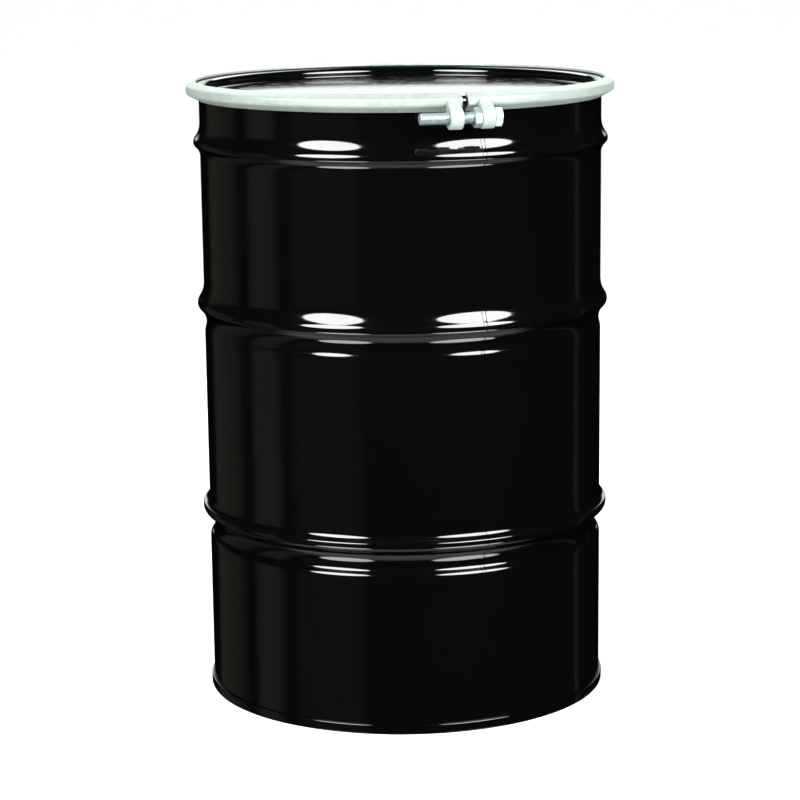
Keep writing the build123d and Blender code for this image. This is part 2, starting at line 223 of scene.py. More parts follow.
def wall_line(bottom, top):
    """Outside of the wall from its foot to its mouth."""
    low_groove = LOW_HOOP_Z - LOW_CREST - LOW_FLANKS[1]
    middle_groove = MIDDLE_HOOP_Z - MIDDLE_FLANKS[1]
    wall, crest = WALL_RADIUS, HOOP_RADIUS
    stations = [
        (wall, bottom, 0),
        (wall, low_groove - LOW_FLANKS[2], GROOVE_SHARE),
        (LOW_GROOVE_RADIUS, low_groove, 1 - CREST_SHARE),
        (crest, LOW_HOOP_Z - LOW_CREST, 0),
        (crest, LOW_HOOP_Z + LOW_CREST, CREST_SHARE),
        (wall, LOW_HOOP_Z + LOW_CREST + LOW_FLANKS[0], 0),
        (wall, middle_groove - MIDDLE_FLANKS[2], GROOVE_SHARE),
        (MIDDLE_GROOVE_RADIUS, middle_groove, 1 - CREST_SHARE),
        (crest, MIDDLE_HOOP_Z, CREST_SHARE),
        (wall, MIDDLE_HOOP_Z + MIDDLE_FLANKS[0], 0),
        (wall, TOP_HOOP_Z - TOP_FLANKS[1], 1 - CREST_SHARE),
        (crest, TOP_HOOP_Z, CREST_SHARE),
        (wall, TOP_HOOP_Z + TOP_FLANKS[0], 0),
        (wall, top, 0),
    ]
    line = []
    for low, high in zip(stations, stations[1:]):
        line += flank(low, high, low[2]) if low[0] != high[0] else [Vector(low[:2]), Vector(high[:2])]
    return tidy(line)


def outline_object(name, points, closed):
    """A mesh line in the XZ plane, for the spinning tree."""
    mesh = bpy.data.meshes.new(name)
    count = len(points)
    edges = [(i, (i + 1) % count) for i in range(count if closed else count - 1)]
    mesh.from_pydata([(p[0], 0, p[1]) for p in points], edges, [])
    made = bpy.data.objects.new(name, mesh)
    bpy.context.scene.collection.objects.link(made)
    return made


# ---------- nodes ----------

def live(node):
    """A node's first output that is in use with its settings."""
    return next(output for output in node.outputs if output.enabled)


def add(tree, kind, inputs=None, **settings):
    """Adds a node with its settings. An input given as a socket or a node is linked, from the node's first live
    output; anything else is its value."""
    made = tree.nodes.new(kind)
    for name, value in settings.items():
        setattr(made, name, value)
    for key, value in (inputs or {}).items():
        if isinstance(value, bpy.types.Node):
            value = live(value)
        if isinstance(value, bpy.types.NodeSocket):
            tree.links.new(value, made.inputs[key])
        else:
            made.inputs[key].default_value = value
    return made


def new_tree(name, **sockets):
    """An empty geometry tree with a geometry input and output and the named inputs."""
    tree = bpy.data.node_groups.new(name, "GeometryNodeTree")
    tree.is_modifier = True
    tree.interface.new_socket("Geometry", in_out="INPUT", socket_type="NodeSocketGeometry")
    tree.interface.new_socket("Geometry", in_out="OUTPUT", socket_type="NodeSocketGeometry")
    for label, kind in sockets.items():
        tree.interface.new_socket(label.replace("_", " "), in_out="INPUT", socket_type="NodeSocket" + kind)
    return tree


def finish_tree(tree, geometry, group, edge_angle):
    """Smooth shading with sharp edges past an angle, then the two nodes that every tree ends in."""
    smooth = add(tree, "GeometryNodeSetShadeSmooth", {"Geometry": geometry, "Shade Smooth": True})
    angle = add(tree, "GeometryNodeInputMeshEdgeAngle")
    sharp = add(tree, "FunctionNodeCompare", {0: angle, 1: math.radians(edge_angle)},
                data_type="FLOAT", operation="GREATER_THAN")
    edges = add(tree, "GeometryNodeSetShadeSmooth",
                {"Geometry": smooth, "Selection": sharp, "Shade Smooth": False},
                domain="EDGE")
    real = add(tree, "GeometryNodeRealizeInstances", {"Geometry": edges})
    painted = add(tree, "GeometryNodeSetMaterial",
                  {"Geometry": real, "Material": group.outputs["Material"]})
    add(tree, "NodeGroupOutput", {"Geometry": painted})


def spin_tree():
    """Turns an outline round the Z axis; a hexagon's flats cut it where they are set."""
    tree = new_tree("spin outline", Segments="Int", Start="Float", Sweep="Float", Path_radius="Float",
                    Hexagon_flats="Float", Material="Material")
    group = add(tree, "NodeGroupInput")
    radius, flats = group.outputs["Path radius"], group.outputs["Hexagon flats"]
    whole = add(tree, "FunctionNodeCompare", {0: group.outputs["Sweep"], 1: math.tau - 1e-4},
                data_type="FLOAT", operation="GREATER_THAN")
    circle = add(tree, "GeometryNodeCurvePrimitiveCircle", {"Resolution": group.outputs["Segments"], "Radius": radius})
    points = add(tree, "ShaderNodeMath", {0: group.outputs["Segments"], 1: 1.0}, operation="ADD")
    part = add(tree, "GeometryNodeCurveArc",
               {"Resolution": points, "Radius": radius, "Start Angle": group.outputs["Start"],
                "Sweep Angle": group.outputs["Sweep"]})
    route = add(tree, "GeometryNodeSwitch", {"Switch": whole, "False": part, "True": circle}, input_type="GEOMETRY")
    upright = add(tree, "GeometryNodeSetCurveNormal", {"Curve": route}, mode="Z_UP")
    # the outline stands in XZ; the swept profile lies in XY, off the route by the outline's radius
    split = add(tree, "ShaderNodeSeparateXYZ", {0: add(tree, "GeometryNodeInputPosition")})
    off = add(tree, "ShaderNodeMath", {0: split.outputs["X"], 1: radius}, operation="SUBTRACT")
    down = add(tree, "ShaderNodeMath", {0: split.outputs["Z"], 1: -1.0}, operation="MULTIPLY")
    laid = add(tree, "ShaderNodeCombineXYZ", {"X": off, "Y": down})
    flat = add(tree, "GeometryNodeSetPosition", {"Geometry": group.outputs["Geometry"], "Position": laid})
    profile = add(tree, "GeometryNodeMeshToCurve", {"Mesh": flat})
    swept = add(tree, "GeometryNodeCurveToMesh", {"Curve": upright, "Profile Curve": profile, "Fill Caps": True})
    # hexagon: each point is drawn in to the nearest flat, along its own direction
    axes = add(tree, "ShaderNodeSeparateXYZ", {0: add(tree, "GeometryNodeInputPosition")})
    level = add(tree, "ShaderNodeCombineXYZ", {"X": axes.outputs["X"], "Y": axes.outputs["Y"]})
    known = {"x": axes.outputs["X"], "y": axes.outputs["Y"], "flats": flats,
             "out": add(tree, "ShaderNodeVectorMath", {0: level}, operation="LENGTH").outputs["Value"]}
    for label, operation, *terms in (
        ("angle", "ARCTAN2", "y", "x"),
        ("from flat", "ADD", "angle", math.tau + math.pi / 6),
        ("sixth", "MODULO", "from flat", math.pi / 3),
        ("off flat", "SUBTRACT", "sixth", math.pi / 6),
        ("cosine", "COSINE", "off flat"),
        ("half", "MULTIPLY", "flats", 0.5),
        ("limit", "DIVIDE", "half", "cosine"),
        ("ratio", "DIVIDE", "limit", "out"),
        ("drawn in", "MINIMUM", "ratio", 1.0),
    ):
        known[label] = add(tree, "ShaderNodeMath", {i: known.get(term, term) for i, term in enumerate(terms)},
                           operation=operation)
    cut = add(tree, "ShaderNodeVectorMath", {0: level, "Scale": known["drawn in"]}, operation="SCALE")
    raised = add(tree, "ShaderNodeCombineXYZ", {"Z": axes.outputs["Z"]})
    moved = add(tree, "ShaderNodeVectorMath", {0: cut, 1: raised}, operation="ADD")
    has_flats = add(tree, "FunctionNodeCompare", {0: flats, 1: 0.0}, data_type="FLOAT", operation="GREATER_THAN")
    hexed = add(tree, "GeometryNodeSetPosition", {"Geometry": swept, "Selection": has_flats, "Position": moved})
    closed = add(tree, "GeometryNodeMergeByDistance", {"Geometry": hexed, "Distance": JOIN})
    finish_tree(tree, closed, group, 40)
    return tree


def bead_tree():
    """Weld bead along a mesh line: half round, its crest facing out, with ripples and a little unevenness."""
    tree = new_tree("weld bead", Out="Vector", Across="Float", Rise="Float", Ripple="Float", Material="Material")
    group = add(tree, "NodeGroupInput")
    ripple = group.outputs["Ripple"]
    line = add(tree, "GeometryNodeMeshToCurve", {"Mesh": group.outputs["Geometry"]})
    step = add(tree, "ShaderNodeMath", {0: ripple, 1: 0.2}, operation="MULTIPLY")
    even = add(tree, "GeometryNodeResampleCurve", {"Curve": line, "Length": step}, mode="LENGTH")
    along = add(tree, "GeometryNodeSplineParameter")
    turns = add(tree, "ShaderNodeMath", {0: along.outputs["Length"], 1: ripple}, operation="DIVIDE")
    wave = add(tree, "ShaderNodeMath", {0: turns, 1: 0.5}, operation="PINGPONG")
    lift = add(tree, "ShaderNodeMapRange", {"Value": wave, "From Max": 0.5, "To Min": 0.86, "To Max": 1.0})
    noise = add(tree, "ShaderNodeTexNoise",
                {"Vector": add(tree, "GeometryNodeInputPosition"), "Scale": per_mm(6), "Detail": 1.0})
    drift = add(tree, "ShaderNodeMapRange", {"Value": noise, "To Min": 0.85, "To Max": 1.0})
    size = add(tree, "ShaderNodeMath", {0: lift, 1: drift}, operation="MULTIPLY")
    sized = add(tree, "GeometryNodeSetCurveRadius", {"Curve": even, "Radius": size})
    turned = add(tree, "GeometryNodeSetCurveNormal", {"Curve": sized, "Normal": group.outputs["Out"]}, mode="FREE")
    circle = add(tree, "GeometryNodeCurvePrimitiveCircle", {"Resolution": 16, "Radius": 1.0})
    half = add(tree, "ShaderNodeMath", {0: group.outputs["Across"], 1: 0.5}, operation="MULTIPLY")
    oval = add(tree, "ShaderNodeCombineXYZ", {"X": group.outputs["Rise"], "Y": half, "Z": 1.0})
    section = add(tree, "GeometryNodeTransform", {"Geometry": circle, "Scale": oval})
    swept = add(tree, "GeometryNodeCurveToMesh", {"Curve": turned, "Profile Curve": section, "Fill Caps": True})
    finish_tree(tree, swept, group, 60)
    return tree


def thread_tree():
    """Rod along Z whose surface is one grid: a helical thread near its foot, a pointed foot and a plain rest. The
    first and last rows of the grid close the two ends."""
    around, rows = 48, 440
    tree = new_tree("threaded rod", Length="Float", Radius="Float", Threaded="Float", Pitch="Float", Depth="Float",
                    Point="Float", Material="Material")
    group = add(tree, "NodeGroupInput")
    grid = add(tree, "GeometryNodeMeshGrid", {"Size X": 1.0, "Size Y": 1.0, "Vertices X": around + 1,
                                              "Vertices Y": rows + 3})
    spot = add(tree, "ShaderNodeSeparateXYZ", {0: add(tree, "GeometryNodeInputPosition")})
    known = {socket.name.lower(): socket for socket in group.outputs if socket.type == "VALUE"}
    known.update(across=spot.outputs["X"], down=spot.outputs["Y"])
    for label, operation, *terms in (
        ("turn", "ADD", "across", 0.5),
        ("share down", "ADD", "down", 0.5),
        ("row", "MULTIPLY", "share down", rows + 2.0),
        ("wall row", "SUBTRACT", "row", 1.0),
        ("height share", "DIVIDE", "wall row", float(rows)),
        ("above foot", "MAXIMUM", "height share", 0.0),
        ("share", "MINIMUM", "above foot", 1.0),
        ("height", "MULTIPLY", "share", "length"),
        ("turns up", "DIVIDE", "height", "pitch"),
        ("phase", "SUBTRACT", "turns up", "turn"),
        ("half ridge", "PINGPONG", "phase", 0.5),
        ("ridge", "MULTIPLY", "half ridge", 2.0),
        ("off root", "SUBTRACT", "ridge", 0.12),
        ("on flank", "DIVIDE", "off root", 0.76),
        ("above root", "MAXIMUM", "on flank", 0.0),
        ("flank", "MINIMUM", "above root", 1.0),
        ("left", "SUBTRACT", "threaded", "height"),
        ("turns left", "DIVIDE", "left", "pitch"),
        ("not past", "MAXIMUM", "turns left", 0.0),
        ("fade", "MINIMUM", "not past", 1.0),
        ("under crest", "SUBTRACT", 1.0, "flank"),
        ("faded", "MULTIPLY", "under crest", "fade"),
        ("cut", "MULTIPLY", "faded", "depth"),
        ("threaded radius", "SUBTRACT", "radius", "cut"),
        ("tip radius", "SUBTRACT", "radius", "point"),
        ("cone", "ADD", "tip radius", "height"),
        ("pointed", "MINIMUM", "threaded radius", "cone"),
        ("past foot", "GREATER_THAN", "row", 0.5),
        ("before top", "LESS_THAN", "row", rows + 1.5),
        ("on wall", "MULTIPLY", "past foot", "before top"),
        ("reach", "MULTIPLY", "pointed", "on wall"),
        ("angle", "MULTIPLY", "turn", math.tau),
        ("cosine", "COSINE", "angle"),
        ("sine", "SINE", "angle"),
        ("x", "MULTIPLY", "reach", "cosine"),
        ("y", "MULTIPLY", "reach", "sine"),
    ):
        known[label] = add(tree, "ShaderNodeMath", {i: known.get(term, term) for i, term in enumerate(terms)},
                           operation=operation)
    where = add(tree, "ShaderNodeCombineXYZ", {"X": known["x"], "Y": known["y"], "Z": known["height"]})
    rolled = add(tree, "GeometryNodeSetPosition", {"Geometry": grid, "Position": where})
    closed = add(tree, "GeometryNodeMergeByDistance", {"Geometry": rolled, "Distance": JOIN})
    finish_tree(tree, closed, group, 35)
    return tree


def per_mm(size):
    """Noise scale whose features are about size millimetres across."""
    return 1 / (size * MM)


def face_out(mesh):
    """Turns the faces of a closed piece outwards if they point in."""
    work = bmesh.new()
    work.from_mesh(mesh)
    if work.calc_volume(signed=True) < 0:
        bmesh.ops.reverse_faces(work, faces=work.faces)
        work.to_mesh(mesh)
    work.free()


def run_tree(thing, tree, **values):
    """Runs a tree on an object and returns the result as a plain mesh object of the same name."""
    modifier = thing.modifiers.new(tree.name, "NODES")
    modifier.node_group = tree
    sockets = {item.name: item.identifier for item in tree.interface.items_tree if item.in_out == "INPUT"}
    for label, value in values.items():
        modifier[sockets[label.replace("_", " ")]] = value
    graph = bpy.context.evaluated_depsgraph_get()
    made = bpy.data.meshes.new_from_object(thing.evaluated_get(graph), depsgraph=graph)
    thing.modifiers.remove(modifier)
    face_out(made)
    made.name = thing.name
    thing.data = made
    return thing


SPIN = spin_tree()
BEAD = bead_tree()
THREAD = thread_tree()


# ---------- materials ----------

def linear(hex_colour):
    """sRGB hex to linear RGBA."""
    parts = [int(hex_colour[i:i + 2], 16) / 255 for i in (1, 3, 5)]
    return (*[c / 12.92 if c <= 0.04045 else ((c + 0.055) / 1.055) ** 2.4 for c in parts], 1.0)


def new_material(name, **values):
    """A material with its Principled shader, whose even values are set on the shader's own sockets."""
    material = bpy.data.materials.new(name)
    material.use_nodes = True
    tree = material.node_tree
    tree.nodes.clear()
    shader = add(tree, "ShaderNodeBsdfPrincipled", {k.replace("_", " "): v for k, v in values.items()})
    add(tree, "ShaderNodeOutputMaterial", {"Surface": shader})
    place = add(tree, "ShaderNodeTexCoord").outputs["Object"]
    return material, tree, shader, place


def shade(tree, shader, **nodes):
    """Links nodes to the shader's sockets of the same names."""
    for socket, node in nodes.items():
        tree.links.new(live(node), shader.inputs[socket.replace("_", " ")])


def mottled(name, tones, gloss, patch, detail, skin=None, **values):
    """A finish that drifts between two colours and two roughnesses in patches of a size in millimetres. Detail is
    the noise's detail and roughness. Skin, where it has one, is the size, detail, roughness, strength and depth of
    its bumps."""
    material, tree, shader, place = new_material(name, **values)
    share = add(tree, "ShaderNodeTexNoise",
                {"Vector": place, "Scale": per_mm(patch), "Detail": detail[0], "Roughness": detail[1]})
    colour = add(tree, "ShaderNodeMix", {"Factor": share, "A": linear(tones[0]), "B": linear(tones[1])},
                 data_type="RGBA")
    roughness = add(tree, "ShaderNodeMapRange", {"Value": share, "To Min": gloss[0], "To Max": gloss[1]})
    shade(tree, shader, Base_Color=colour, Roughness=roughness)
    if skin:
        size, fine, fine_roughness, strength, depth = skin
        grain = add(tree, "ShaderNodeTexNoise",
                    {"Vector": place, "Scale": per_mm(size), "Detail": fine, "Roughness": fine_roughness})
        bumps = add(tree, "ShaderNodeBump", {"Height": grain, "Strength": strength, "Distance": depth * MM})
        shade(tree, shader, Normal=bumps)
    return material


def black_enamel():
    """Baked black gloss enamel on cold-rolled sheet: a deep wet shine, faint orange peel, and the sheet's own slow
    waves, which break up long reflections. A little dust dulls what faces up."""
    material, tree, shader, place = new_material("baked black gloss enamel", IOR=1.55)
    upright = add(tree, "ShaderNodeMapping", {"Vector": place, "Scale": (1, 1, 0.35)})
    waves = add(tree, "ShaderNodeTexNoise", {"Vector": upright, "Scale": per_mm(90), "Detail": 2.0})
    peel = add(tree, "ShaderNodeTexNoise", {"Vector": place, "Scale": per_mm(1.6), "Detail": 2.0})
    facing = add(tree, "ShaderNodeSeparateXYZ", {0: add(tree, "ShaderNodeNewGeometry").outputs["Normal"]})
    up = add(tree, "ShaderNodeMapRange", {"Value": facing.outputs["Z"], "From Min": 0.75, "From Max": 1.0})
    grit = add(tree, "ShaderNodeTexNoise", {"Vector": place, "Scale": per_mm(14), "Detail": 6.0, "Roughness": 0.65})
    specks = add(tree, "ShaderNodeMapRange", {"Value": grit, "From Min": 0.45, "From Max": 0.75})
    dust = add(tree, "ShaderNodeMath", {0: up, 1: specks}, operation="MULTIPLY")
    clean = add(tree, "ShaderNodeMix", {"Factor": waves, "A": linear("#020202"), "B": linear("#030303")},
                data_type="RGBA")
    colour = add(tree, "ShaderNodeMix", {"Factor": dust, "A": clean, "B": linear("#0c0d0c")}, data_type="RGBA")
    roughness = add(tree, "ShaderNodeMapRange", {"Value": dust, "To Min": 0.07, "To Max": 0.2})
    swell = add(tree, "ShaderNodeBump", {"Height": waves, "Strength": 0.3, "Distance": 0.35 * MM})
    skin = add(tree, "ShaderNodeBump", {"Height": peel, "Strength": 0.25, "Distance": 0.012 * MM, "Normal": swell})
    shade(tree, shader, Base_Color=colour, Roughness=roughness, Normal=skin)
    return material


def galvanised_steel():
    """Hot-dip galvanised steel, gone dull: a pale, slightly green grey with low-contrast spangle, half matt because
    of its oxide film."""
    material, tree, shader, place = new_material("dull galvanised steel", Metallic=0.45)
    cells = add(tree, "ShaderNodeTexVoronoi", {"Vector": place, "Scale": per_mm(7), "Randomness": 1.0})
    spangle = add(tree, "ShaderNodeSeparateColor", {0: cells.outputs["Color"]})
    film = add(tree, "ShaderNodeTexNoise", {"Vector": place, "Scale": per_mm(40), "Detail": 4.0})
    mixed = add(tree, "ShaderNodeMath", {0: spangle, 1: film}, operation="MULTIPLY")
    colour = add(tree, "ShaderNodeMix", {"Factor": mixed, "A": linear("#87938c"), "B": linear("#98a39c")},
                 data_type="RGBA")
    roughness = add(tree, "ShaderNodeMapRange", {"Value": spangle, "To Min": 0.42, "To Max": 0.56})
    grain = add(tree, "ShaderNodeTexNoise", {"Vector": place, "Scale": per_mm(1.2), "Detail": 2.0})
    skin = add(tree, "ShaderNodeBump", {"Height": grain, "Strength": 0.3, "Distance": 0.03 * MM})
    shade(tree, shader, Base_Color=colour, Roughness=roughness, Normal=skin)
    return material


ENAMEL = black_enamel()
GALVANISED = galvanised_steel()
# a hot zinc coat over the fine, uneven skin that a forging has
FORGED = mottled("zinc-coated forged steel", ("#89948e", "#9ba69f"), (0.46, 0.6), 9, (4.0, 0.5),
                 (2.2, 4.0, 0.6, 0.5, 0.12), Metallic=0.45)
# bright electroplate with a clear, faintly blue passivation: a smooth satin metal
PLATE = mottled("clear-passivated zinc plate", ("#a0b1b2", "#bac8c8"), (0.38, 0.5), 6, (3.0, 0.5),
                (0.8, 2.0, 0.5, 0.2, 0.02), Metallic=0.85)
# arc weld under cold-galvanising spray: rough, slightly darker grey, with fine pits
WELD = mottled("sprayed weld bead", ("#7d8782", "#a3ada8"), (0.45, 0.65), 3, (5.0, 0.6),
               (3.0, 5.0, 0.6, 0.5, 0.1), Metallic=0.5)
# extruded rubber: matt charcoal with a faint bloom
RUBBER = mottled("extruded EPDM rubber", ("#1b1b1c", "#2b2b2b"), (0.62, 0.82), 12, (5.0, 0.5),
                 (0.9, 2.0, 0.5, 0.3, 0.05), IOR=1.52)
# water-based seaming compound: a dry, dull grey paste
COMPOUND = mottled("dried seaming compound", ("#5b5a54", "#74726a"), (0.7, 0.9), 3, (4.0, 0.5), IOR=1.5)


# ---------- pieces ----------

def settle(thing, body, slot, *nodes):
    """Hides the CAD nodes that a piece stands for, and lets it ride on its body. Slot, the name of its finish, is not
    used.
    """
    if nodes:
        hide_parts(*nodes)
    if body:
        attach(thing, body)
    return thing


def spun(name, points, closed, material, start=0.0, sweep=360.0, segments=240, flats=0.0):
    """An outline turned about the Z axis."""
    thing = outline_object(name, tidy(points), closed)
    reach = max(point[0] for point in points)
    return run_tree(thing, SPIN, Segments=segments, Start=math.radians(start), Sweep=math.radians(sweep),
                    Path_radius=reach, Hexagon_flats=flats, Material=material)


def along_bolt(thing, x, turn=0.0):
    """Lays a piece made round the Z axis along the bolt's axis, its foot at x."""
    lay = Matrix.Rotation(math.pi / 2, 4, "Y") @ Matrix.Rotation(math.radians(turn), 4, "Z")
    thing.data.transform(Matrix.Translation((x, BOLT_AXIS.y, BOLT_AXIS.z)) @ lay)
    return thing


def seam_radii():
    """Inner faces of the double seam's layers: head hook, body hook and seaming wall."""
    head_hook = WALL_RADIUS + SEAM_GAP
    body_hook = head_hook + SHEET + SEAM_GAP
    return head_hook, body_hook, body_hook + SHEET + SEAM_GAP


def drum_wall():
    """The wall with its hook in the seam, its hoops and the curl at its mouth."""
    body_hook = seam_radii()[1]
    fold = (body_hook - WALL_RADIUS) / 2
    hook = [Vector((body_hook, CHIME_HEIGHT - SHEET - BODY_HOOK_SETBACK))]
    turn = arc((WALL_RADIUS + fold, FOLD_INSIDE + fold), fold, 0, -180, 15)
    curl = arc((CURL_CENTRE, CURL_Z), CURL_RADIUS - SHEET, 180, 180 - CURL_TURN, 10)
    line = hook + turn + wall_line(FOLD_INSIDE + fold, CURL_Z) + curl
    wall = spun("drum_wall", sheet(line, SHEET), True, ENAMEL, segments=200)
    settle(wall, "drum", "black_enamel", "body_shell")


def drum_bottom():
    """The recessed bottom, folded up and over the wall's hook."""
    head_hook, body_hook, seaming_wall = seam_radii()
    hook_face = head_hook + SHEET
    chuck_wall = INNER_RADIUS - SEAM_GAP
    step = chuck_wall - BOTTOM_MARGIN
    top_bend = SEAM_TOP_SHARE * (seaming_wall - hook_face)
    line = rounded([
        (0, BOTTOM_PANEL_Z + BOTTOM_STEP),
        (step, BOTTOM_PANEL_Z + BOTTOM_STEP),
        (step + 2 * BOTTOM_STEP, BOTTOM_PANEL_Z),
        (chuck_wall, BOTTOM_PANEL_Z),
        (chuck_wall, SHEET),
        (seaming_wall, SHEET),
        (seaming_wall, CHIME_HEIGHT - SHEET),
        (hook_face, CHIME_HEIGHT - SHEET),
        (hook_face, FOLD_INSIDE + HEAD_HOOK_SETBACK),
    ], [PANEL_BEND, PANEL_BEND, BOTTOM_BEND, SEAM_FOOT_BEND, SEAM_FOOT_BEND, top_bend, top_bend])
    settle(spun("drum_bottom", sheet(line, -SHEET), False, ENAMEL), "drum", "black_enamel", "bottom_head")


def drum_cover():
    """The cover: raised middle, recessed wall, rim channel and skirt."""
    step = COVER_WALL - COVER_MARGIN
    panel = rounded([
        (0, PANEL_Z + COVER_STEP),
        (step, PANEL_Z + COVER_STEP),
        (step + 2 * COVER_STEP, PANEL_Z),
        (COVER_WALL, PANEL_Z),
        (COVER_WALL, RIM_Z),
    ], [PANEL_BEND, PANEL_BEND, PANEL_BEND])
    rim = arc((CURL_CENTRE, RIM_Z), RIM_OUTER, 180, 0, 7)
    skirt = [Vector((CURL_CENTRE + RIM_OUTER, RIM_Z - SKIRT))]
    outline = sheet(panel + rim + skirt, -SHEET)
    settle(spun("drum_cover", outline, False, ENAMEL), "lid", "black_enamel", "cover")


def rubber_gasket():
    """The gasket fills the rim's channel and sits on the curl."""
    low = math.degrees(math.asin(GASKET_LIP / RIM_INNER))
    high = math.degrees(math.asin((RIM_Z - GASKET_LIP - CURL_Z) / GASKET_BORE))
    channel = arc((CURL_CENTRE, RIM_Z), RIM_INNER, -low, 180 + low, 9)
    bore = arc((CURL_CENTRE, CURL_Z), GASKET_BORE, 180 - high, high, 9)
    settle(spun("rubber_gasket", channel + bore, True, RUBBER), "lid", "gasket_rubber", "cover_gasket")


def ring_line():
    """Outer face of the ring's channel, from the lower leg's edge to the upper one's."""
    slope = math.tan(LEG_ANGLE)
    web_low = RING_LOW.z + (RING_RADIUS - LOW_LEG_RADIUS) * slope
    web_top = RING_HIGH.z - (RING_RADIUS - TOP_LEG_RADIUS) * slope
    return rounded([(LOW_LEG_RADIUS, RING_LOW.z), (RING_RADIUS, web_low), (RING_RADIUS, web_top),
                    (TOP_LEG_RADIUS, RING_HIGH.z)], [RING_BEND, RING_BEND])


def closing_ring():
    """The band in three stretches: its two ends ride on their halves, and the back stays fixed between them."""
    half_gap = math.degrees(math.asin(RING_GAP / 2 / RING_RADIUS))
    ends = 180 - BAND_BACK
    side = ends - half_gap
    outline = sheet(ring_line(), RING_SHEET)
    right = spun("ring_band_right", outline, True, GALVANISED, half_gap - 90, side, 120)
    settle(right, "ring_right", "galvanised_steel", "closing_ring_right")
    left = spun("ring_band_left", outline, True, GALVANISED, ends, side, 120)
    settle(left, "ring_left", "galvanised_steel", "closing_ring_left")
    back = spun("ring_band_back", outline, True, GALVANISED, BAND_BACK, 2 * BAND_BACK, 80)
    settle(back, None, "galvanised_steel")
    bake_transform(back)


def lug(name, low_x, high_x, hole, body, node):
    """Forged lug: a flat outline with its hole, as thick as the lug is wide, all its edges rounded."""
    axis_radius, axis_z = -BOLT_AXIS.y, BOLT_AXIS.z
    cut = math.degrees(math.acos((LUG_BACK - axis_radius) / LUG_BOSS))
    boss = arc((axis_radius, axis_z), LUG_BOSS, -cut, LUG_SHOULDER, 6)
    slope = math.tan(LEG_ANGLE)
    leg_z = RING_LOW.z + (LUG_BACK - LOW_LEG_RADIUS) * slope + RING_SHEET / 2
    outline = boss + [Vector(p) for p in (
        (RING_RADIUS + LUG_PAD, LUG_PAD_TOP),
        (LUG_ROOT, LUG_PAD_TOP),
        (LUG_ROOT, leg_z + RING_SHEET / 2),
        (LUG_BACK, leg_z),
    )]
    curve = bpy.data.curves.new(name, "CURVE")
    curve.dimensions = "2D"
    curve.fill_mode = "BOTH"
    curve.extrude = (high_x - low_x) / 2 - LUG_ROUNDING
    curve.bevel_depth = LUG_ROUNDING
    curve.offset = -LUG_ROUNDING
    curve.bevel_resolution = 4
    for points in (outline, arc((axis_radius, axis_z), hole, 0, 352.5, 7.5)):
        spline = curve.splines.new("POLY")
        spline.points.add(len(points) - 1)
        for spot, point in zip(spline.points, points):
            spot.co = (point[0], point[1], 0, 1)
        spline.use_cyclic_u = True
    drawn = bpy.data.objects.new(name + "_outline", curve)
    bpy.context.scene.collection.objects.link(drawn)
    graph = bpy.context.evaluated_depsgraph_get()
    mesh = bpy.data.meshes.new_from_object(drawn.evaluated_get(graph), depsgraph=graph)
    bpy.data.objects.remove(drawn)
    # radius runs to -Y, height to +Z and the thickness along X
    turn = Matrix(((0, 0, -1, (low_x + high_x) / 2), (-1, 0, 0, 0), (0, 1, 0, 0), (0, 0, 0, 1)))
    mesh.transform(turn)
    thing = bpy.data.objects.new(name, mesh)
    bpy.context.scene.collection.objects.link(thing)
    close_up(mesh)
    mesh.materials.clear()
    mesh.materials.append(FORGED)
    settle(thing, body, "galvanised_steel", node)


def close_up(mesh):
    """Merges doubles, points the faces outwards and smooths all but the sharp edges."""
    work = bmesh.new()
    work.from_mesh(mesh)
    bmesh.ops.remove_doubles(work, verts=work.verts, dist=0.01 * MM)
    bmesh.ops.recalc_face_normals(work, faces=work.faces)
    work.to_mesh(mesh)
    work.free()
    mesh.shade_smooth()
    mesh.set_sharp_from_angle(angle=math.radians(40))


def bead(name, points, out, across, rise, ripple, material):
    """A weld bead along a line of points, its crest facing out."""
    mesh = bpy.data.meshes.new(name)
    mesh.from_pydata(points, [(i, i + 1) for i in range(len(points) - 1)], [])
    thing = bpy.data.objects.new(name, mesh)
    bpy.context.scene.collection.objects.link(thing)
    return run_tree(thing, BEAD, Out=out, Across=across, Rise=rise, Ripple=ripple, Material=material)


def side_seam():
    """The wall's longitudinal weld, enamelled over."""
    angle = math.radians(SEAM_ANGLE - 90)
    line = wall_line(SEAM_LOW.z, SEAM_HIGH.z)
    points = [(p[0] * math.cos(angle), p[0] * math.sin(angle), p[1]) for p in line]
    out = (math.cos(angle), math.sin(angle), 0)
    seam = bead("side_seam", points, out, SEAM_WIDTH, SEAM_RISE, SEAM_RIPPLE, ENAMEL)
    settle(seam, "drum", "black_enamel", "side_seam_weld")


def lug_weld(name, low_x, high_x, body, node):
    """The bead along the top of a lug's pad, on the ring's web."""
    points = []
    for i in range(WELD_POINTS + 1):
        x = low_x + WELD_RADIUS + (high_x - low_x - 2 * WELD_RADIUS) * i / WELD_POINTS
        points.append((x, -math.sqrt(RING_RADIUS ** 2 - x * x), LUG_PAD_TOP))
    weld = bead(name, points, (0, -1, 0), 2 * WELD_RADIUS, WELD_RADIUS, WELD_RIPPLE, WELD)
    settle(weld, body, "weld_steel", node)


def hex_rise(low, high, chamfered_low):
    """A hexagon's outline from its lower face to its upper one; past the flats the corners are turned off."""
    flat, corner = HEX_FLATS / 2 - HEX_CHAMFER * START_SINK, HEX_CORNER + HEX_SPILL
    steps = 6
    slant = [(flat + (corner - flat) * i / steps, HEX_CHAMFER * i / steps) for i in range(steps + 1)]
    foot = [Vector((r, low + z)) for r, z in slant] if chamfered_low else [Vector((corner, low))]
    return foot + [Vector((r, high - z)) for r, z in slant[::-1]]


